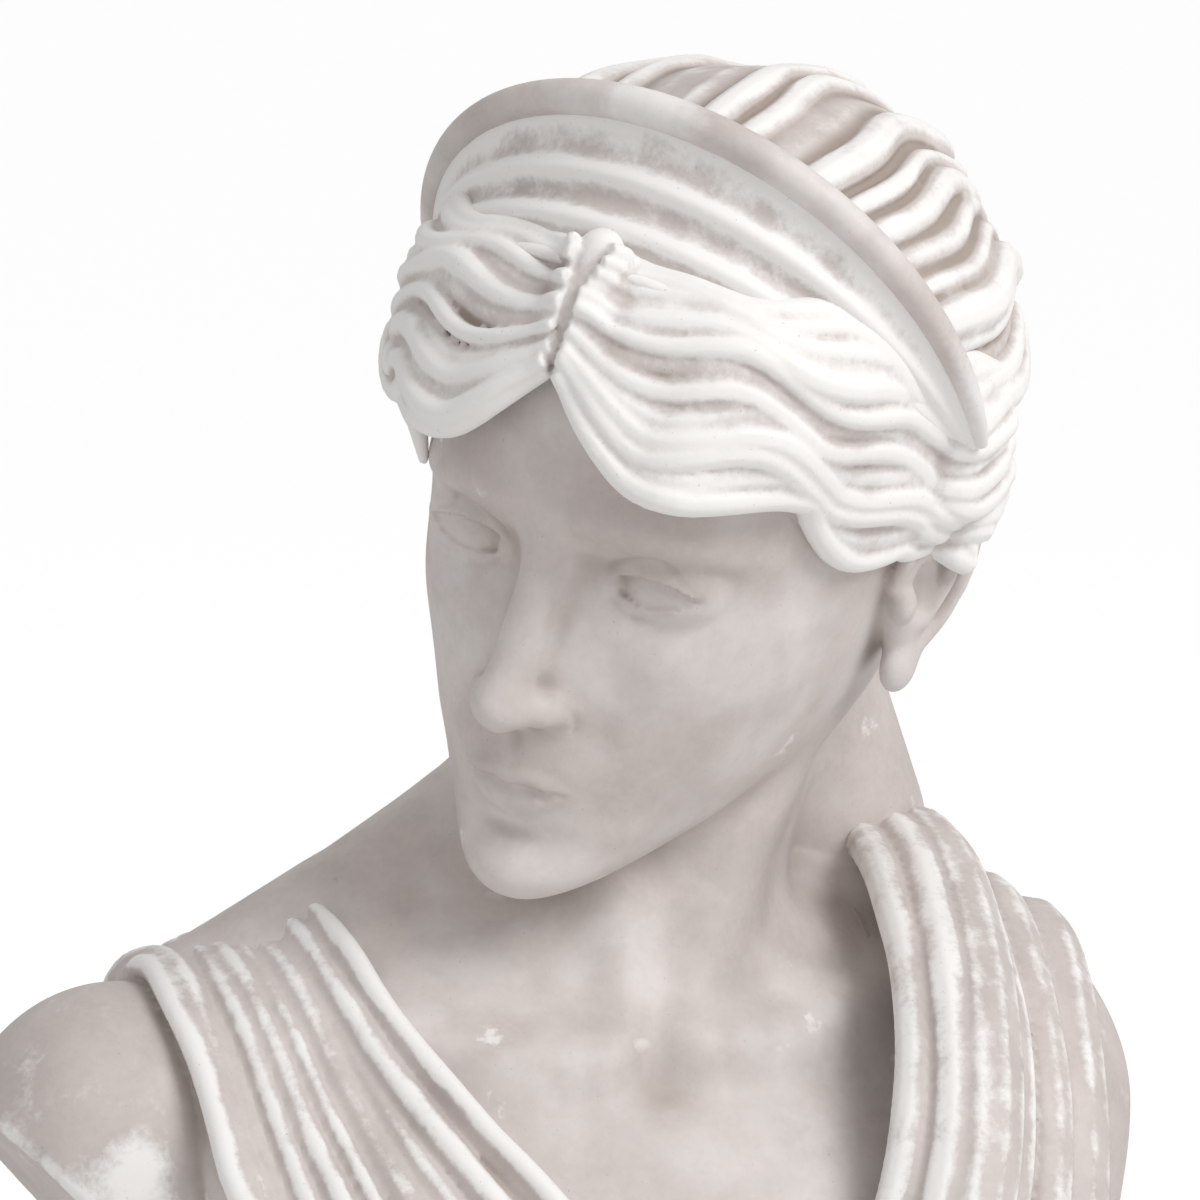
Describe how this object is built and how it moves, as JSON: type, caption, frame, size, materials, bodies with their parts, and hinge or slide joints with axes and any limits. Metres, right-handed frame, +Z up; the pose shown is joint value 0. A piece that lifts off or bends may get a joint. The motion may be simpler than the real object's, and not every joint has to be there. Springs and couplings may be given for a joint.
{
  "type": "marble bust",
  "caption": "Marble bust of a draped goddess with a turned, bowed head, waved hair and a crescent diadem, on a turned socle and square plinth.",
  "frame": {"origin": "centre of the underside of the cork base, on the axis of the mounting rod", "axes": "+Z up; the chest faces -Y; +X is the figure's left side"},
  "size_m": [0.388, 0.2503, 0.7328],
  "materials": {
    "marble": "honed pale grey-pink marble, rubbed white on the raised carving",
    "socle_marble": "honed pale marble, turned",
    "stainless": "turned stainless steel",
    "bronze": "drawn bronze pin",
    "resin": "cured stone resin with marble dust",
    "lime_bed": "fine lime putty joint",
    "cork": "pressed cork sheet"
  },
  "bodies": {
    "root": {"cork_base": "cork", "plinth": "socle_marble", "plinth_bed": "lime_bed", "socle": "socle_marble", "bust_bed": "lime_bed", "locating_pins": "stainless", "mount_rod": "stainless", "rod_resin": "resin", "plate_washer": "stainless", "spring_washer": "stainless", "hex_nut": "stainless", "draped_bust": "marble", "head_dowel": "stainless", "head_bed": "lime_bed", "head": "marble", "diadem": "marble", "diadem_pins": "bronze"}
  },
  "joints": []
}
